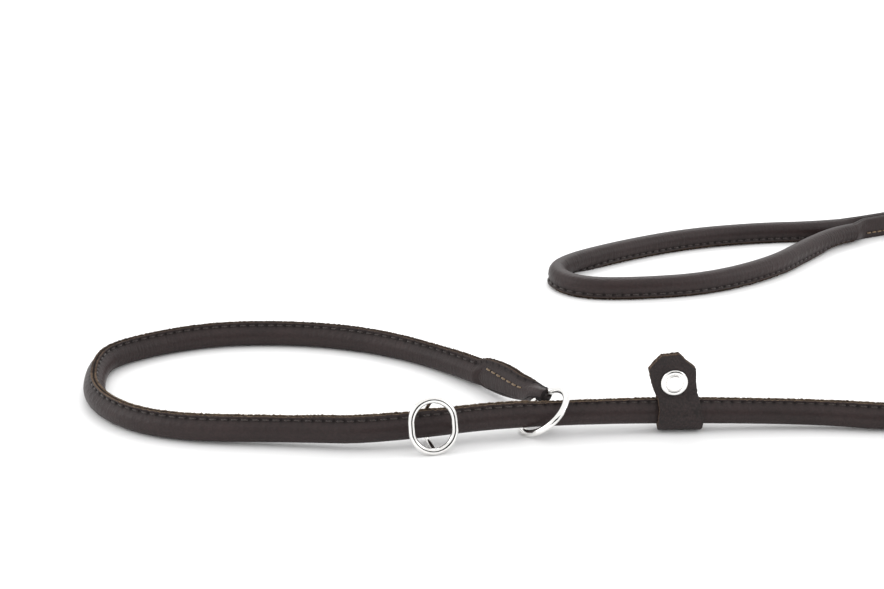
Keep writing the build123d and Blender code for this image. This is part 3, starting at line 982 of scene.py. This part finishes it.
def rivet_cap():
    """A pressed cap with a rolled rim, a groove and a raised disc, on its post."""
    build = Build()
    base = stop_middle + stop_along * RIVET_SPOT[0] + stop_up * RIVET_SPOT[1] - stop_back * (TAB_OFF + STOP_T / 2)
    profile = [(1.5, -3.3), (1.5, 0.02), (5.6, 0.02), (5.95, 0.08), (CAP_R, 0.3), (6.0, 0.58), (5.8, 0.8), (5.5, 0.96)]
    profile += [(5.1, 1.06), (4.6, 1.1), (4.2, 1.04), (3.98, 0.9), (3.9, 0.94), (3.84, 1.2), (3.7, 1.38), (3.4, 1.47)]
    profile += [(2.8, 1.53), (1.8, 1.58), (0.8, 1.6), (0.05, 1.6)]
    sides = 72
    rings, far = [], [0.0]
    for r, h in profile:
        ring = []
        for k in range(sides):
            t = 2 * math.pi * k / sides
            ring.append(base + (stop_along * math.cos(t) + stop_up * math.sin(t)) * r - stop_back * h)
        rings.append(ring)
    for (r0, h0), (r1, h1) in zip(profile, profile[1:]):
        far.append(far[-1] + math.hypot(r1 - r0, h1 - h0))
    around = [k * 2 * math.pi * CAP_R / sides for k in range(sides + 1)]
    build.rings(rings, far, [0] * sides, around, caps=True)
    return build.object("rivet_cap_plated", [NICKEL])


stop = stop_leather()
cap = rivet_cap()
for piece, slot in ((stop, "strap_leather"), (cap, "nickel")):
    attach(piece, "leather_stop")
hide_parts("stop_strap")
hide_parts("stop_rivet_cap")

# ---- the hand loop's joint: both ends pressed flat, side by side, and sewn ------------------------

LAP_START = Vector((134.0, 128.0, 6.0))
LAP_HEADING = math.radians(25.5)
LAP_L = 50.0
LAP_TAPER = 12.0
LAP_HALF_H = 5.95
LAP_HALF_T = 2.2
LAP_OFF = 2.25  # from the joint's middle to the middle of each flat

lap_along = Vector((math.cos(LAP_HEADING), math.sin(LAP_HEADING), 0))
lap_back = Vector((-lap_along.y, lap_along.x, 0))


def lap_piece(name, offset, first, first_along, last, last_along):
    """One flattened end. It starts as a round cord at first; at last it is round again, or cut round."""
    build = Build()
    rings, dark, far = [], [], []
    length = LAP_L if last is not None else LAP_L - LAP_TAPER
    count = int(length / 0.5)
    for i in range(count + 1):
        s = length * i / count
        flat = smooth(s, 0, LAP_TAPER)
        axis = LAP_START + lap_along * s + lap_back * offset
        along = first_along.lerp(lap_along, smooth(s, 0, LAP_TAPER))
        point = first.lerp(axis, smooth(s, 0, LAP_TAPER * 0.9)) if s < LAP_TAPER else axis
        if s < LAP_TAPER:
            point = first + (axis - LAP_START - lap_back * offset) + (lap_back * offset + LAP_START - first) * smooth(
                s, 0, LAP_TAPER
            )
        half_h, trim = LAP_HALF_H, 1.0
        if last is not None and s > LAP_L - LAP_TAPER:
            back_to_round = smooth(s, LAP_L - LAP_TAPER, LAP_L)
            flat = 1 - back_to_round
            end_line = last - lap_along * (LAP_L - s)
            point = axis.lerp(end_line, back_to_round)
            along = lap_along.lerp(last_along, back_to_round)
        if last is None:
            left = length - s
            trim = math.sqrt(max(1 - max(1 - left / LAP_HALF_H, 0) ** 2, 0.004))
        along = along.normalized()
        up = (UP - along * along.z).normalized()
        side = along.cross(up)
        ring, shade = [], []
        for k in range(48):
            t = 2 * math.pi * k / 48
            x, y = CORD_R * math.sin(t), CORD_R * math.cos(t)
            seam = math.exp(-((x / 0.5) ** 2)) * (1 if y > 0 else 0.4)
            px, py = pressed(x, y - 0.35 * seam, flat, LAP_HALF_T, half_h * trim)
            torn = 0.1 * noise.noise(Vector((s * 0.8, t, 3.0))) * flat
            spot = point + side * px + up * (py + torn)
            spot.z = max(spot.z, 0.05)
            ring.append(spot)
            shade.append(min(seam * 0.9, 1.0))
        rings.append(ring)
        dark.append(shade)
        far.append(s)
    around = [0.66 * k for k in range(49)]
    build.rings(rings, far, [0] * 48, around, dark=dark, caps=True, cap_material=1)
    return build.object(name, [FLAT_LEATHER, DARK_EDGE])


def lap_stitches():
    """The row of tan stitches through both flats, on both sides."""
    build = Build()
    for k in range(7):
        for face in (-1, 1):
            ends = []
            for t in (11.5 + 3.7 * k, 14.4 + 3.7 * k):
                depth = LAP_OFF + LAP_HALF_T + 0.06
                ends.append(LAP_START + lap_along * t + lap_back * face * depth - UP * 2.3)
            if face < 0 or ends[0].x < 170:
                stitch(build, ends[0], ends[1], lap_back * face)
    return build.object("lap_stitches", [TAN_THREAD, HOLE_SHADE])


loop_end = (loop_path[-1] - loop_path[-2]).normalized()
loop_start = (loop_path[0] - loop_path[1]).normalized()
line_end = (line_path[-1] - line_path[-2]).normalized()
front_lap = lap_piece("handle_lap_leather", -LAP_OFF, loop_path[-1], loop_end, None, None)
back_lap = lap_piece("line_lap_leather", LAP_OFF, loop_path[0], loop_start, line_path[-1], -line_end)
lap_sewing = lap_stitches()
for piece, slot in ((front_lap, "flat_leather"), (back_lap, "flat_leather"), (lap_sewing, "thread")):
    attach(piece, "lead")
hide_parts("handle_lap")
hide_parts("line_lap")
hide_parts("lap_stitching_front", "lap_stitching_back")

for name in ("slip_ring", "choke_stop", "stop_rivet_back"):
    node_objects[name].data.materials[0] = NICKEL

# ---- floor and light ----------------------------------------------------------------------------

floor_mesh = bpy.data.meshes.new("floor")
floor_mesh.from_pydata([(-5, -5, 0), (5, -5, 0), (5, 5, 0), (-5, 5, 0)], [], [(0, 1, 2, 3)])
floor = bpy.data.objects.new("floor", floor_mesh)
bpy.context.collection.objects.link(floor)
floor_nodes = Nodes("floor")
floor_nodes.shader.inputs["Base Color"].default_value = (0.93, 0.93, 0.93, 1)
floor_nodes.shader.inputs["Roughness"].default_value = 0.9
floor_nodes.shader.inputs["Specular IOR Level"].default_value = 0.1
floor_mesh.materials.append(floor_nodes.material)

SKY = 1.12  # strength of the plain white surroundings
KEY_WATTS = 12
SIDE_WATTS = 5
LIT_SPOT = (0, -0.05, 0)

world = bpy.data.worlds.new("studio")
bpy.context.scene.world = world
world.use_nodes = True
world.node_tree.nodes["Background"].inputs["Color"].default_value = (1, 1, 1, 1)
world.node_tree.nodes["Background"].inputs["Strength"].default_value = SKY


def softbox(name, position, target, width, height, power):
    lamp = bpy.data.lights.new(name, "AREA")
    lamp.shape = "RECTANGLE"
    lamp.size = width
    lamp.size_y = height
    lamp.energy = power
    holder = bpy.data.objects.new(name, lamp)
    bpy.context.collection.objects.link(holder)
    holder.location = position
    holder.rotation_euler = (Vector(target) - Vector(position)).to_track_quat("-Z", "Y").to_euler()
    return holder


softbox("key", (-0.1, 1.25, 1.3), LIT_SPOT, 1.3, 0.8, KEY_WATTS)
softbox("left", (-1.5, -0.2, 0.9), LIT_SPOT, 1.0, 0.8, SIDE_WATTS)
softbox("right", (1.5, -0.3, 0.9), LIT_SPOT, 1.0, 0.8, SIDE_WATTS)

# A dark card beside the camera, seen only in the plated metal, as the dark end of a studio is.
card_mesh = bpy.data.meshes.new("dark_card")
card_mesh.from_pydata([(-0.15, -1.6, 0), (1.15, -1.6, 0), (1.15, -1.6, 1.1), (-0.15, -1.6, 1.1)], [], [(0, 1, 2, 3)])
card = bpy.data.objects.new("dark_card", card_mesh)
bpy.context.collection.objects.link(card)
card_nodes = Nodes("dark_card")
card_nodes.shader.inputs["Base Color"].default_value = (0.012, 0.01, 0.01, 1)
card_nodes.shader.inputs["Roughness"].default_value = 1.0
card_nodes.shader.inputs["Specular IOR Level"].default_value = 0.0
card_mesh.materials.append(card_nodes.material)
card.visible_camera = False
card.visible_diffuse = False
card.visible_shadow = False

bpy.context.scene.view_settings.view_transform = "Standard"
